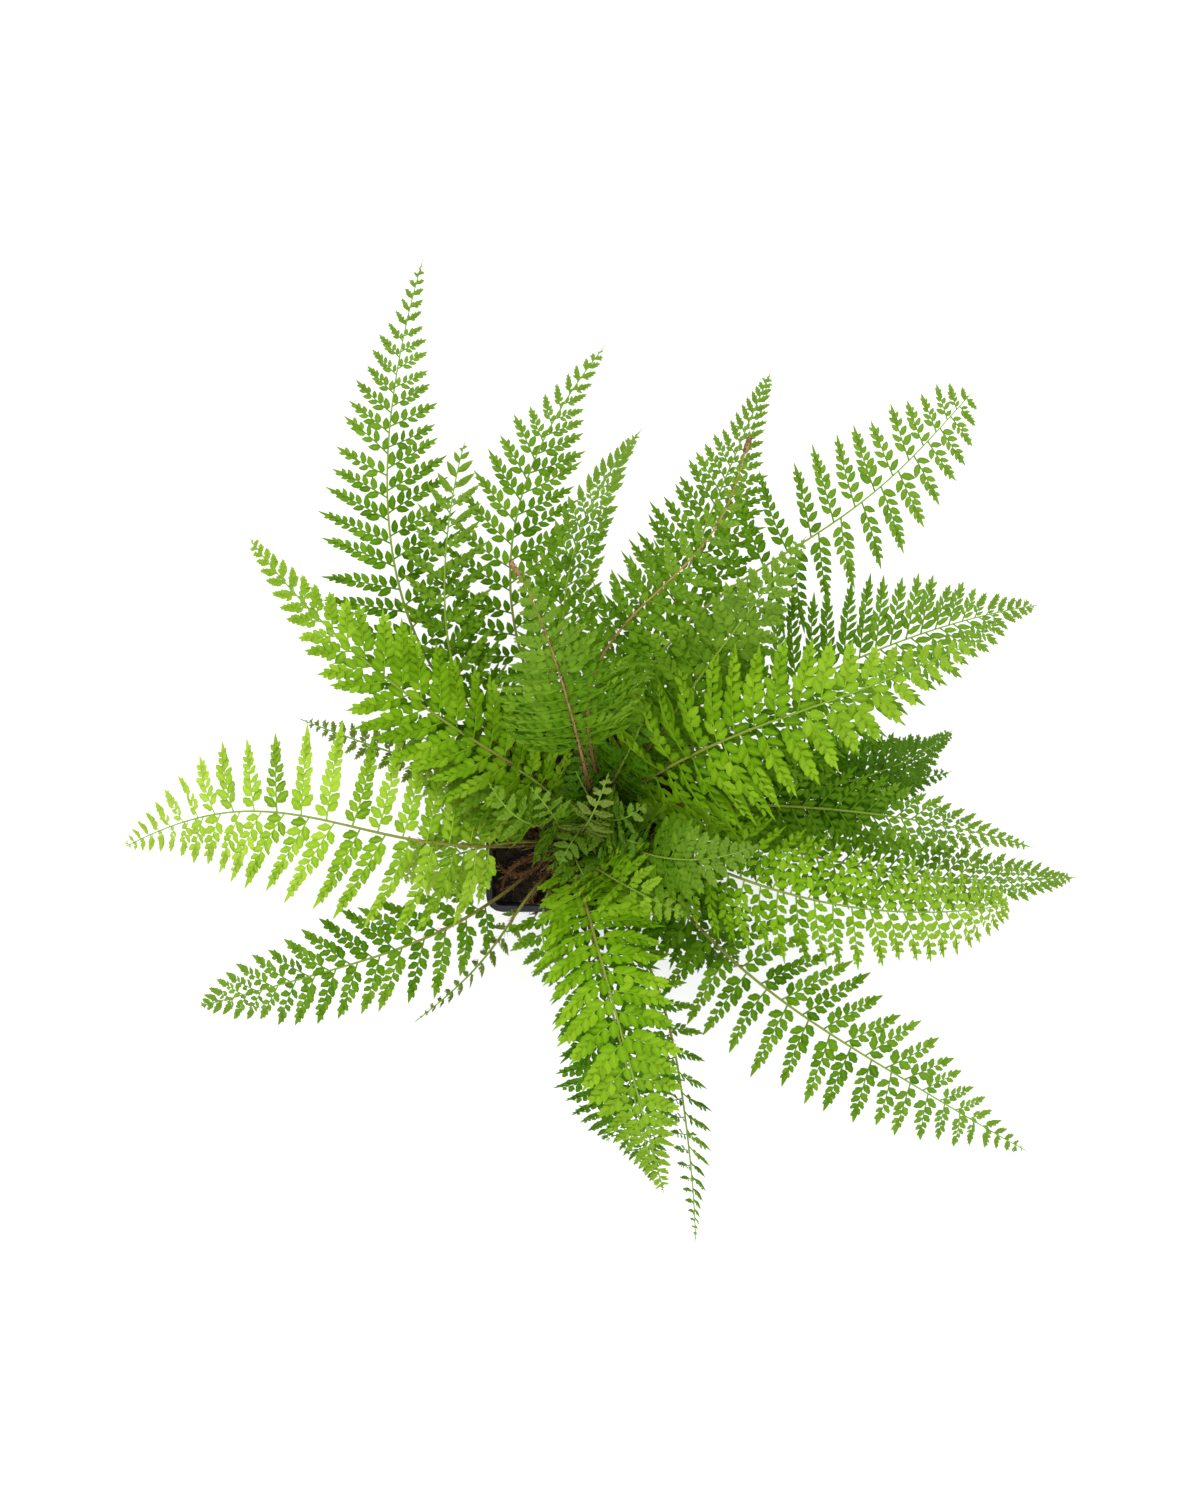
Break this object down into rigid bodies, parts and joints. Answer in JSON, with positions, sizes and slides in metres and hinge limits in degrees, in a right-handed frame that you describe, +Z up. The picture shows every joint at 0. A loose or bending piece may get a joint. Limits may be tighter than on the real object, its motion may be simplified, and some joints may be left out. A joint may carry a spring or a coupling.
{
  "type": "potted soft shield fern",
  "caption": "Soft shield fern with arching, finely divided fronds and young curled ones, growing from a scaly rootstock in a square black nursery pot of peat.",
  "frame": {"origin": "middle of the pot's flat base, on the surface that it stands on", "axes": "+Z up; +Y towards the tall fronds at the top of the picture, +X to its right, square to the pot's sides"},
  "size_m": [0.4093, 0.4262, 0.2885],
  "materials": {
    "pot": "moulded black plastic, faintly blue where it catches the light",
    "peat": "moist peat compost with fibres, matt",
    "rootstock": "brown papery scales, matt",
    "leaf_young": "soft satin leaf, bright yellow-green, lets light through",
    "leaf_mature": "soft satin leaf, mid green, lets light through",
    "leaf_shaded": "soft satin leaf, dark green, lets light through",
    "leaf_ageing": "dry olive leaf with brown edges, matt"
  },
  "bodies": {
    "root": {"pot": "pot", "peat": "peat", "rootstock": "rootstock", "frond_01": "leaf_mature", "frond_02": "leaf_mature", "frond_03": "leaf_mature", "frond_04": "leaf_mature", "frond_05": "leaf_mature", "frond_06": "leaf_young", "frond_07": "leaf_mature", "frond_08": "leaf_mature", "frond_09": "leaf_young", "frond_10": "leaf_shaded", "frond_11": "leaf_shaded", "frond_12": "leaf_mature", "frond_13": "leaf_mature", "frond_14": "leaf_young", "frond_15": "leaf_mature", "frond_16": "leaf_young", "frond_17": "leaf_shaded", "frond_18": "leaf_ageing", "frond_19": "leaf_ageing", "frond_20": "leaf_mature", "frond_21": "leaf_young", "frond_22": "leaf_ageing", "frond_23": "leaf_young", "frond_24": "leaf_young", "frond_25": "leaf_ageing", "frond_26": "leaf_mature", "frond_27": "leaf_mature", "frond_28": "leaf_young", "frond_29": "leaf_shaded", "frond_30": "leaf_mature", "frond_31": "leaf_shaded", "frond_32": "leaf_mature", "frond_33": "leaf_mature", "frond_34": "leaf_mature", "frond_35": "leaf_mature"}
  },
  "joints": []
}
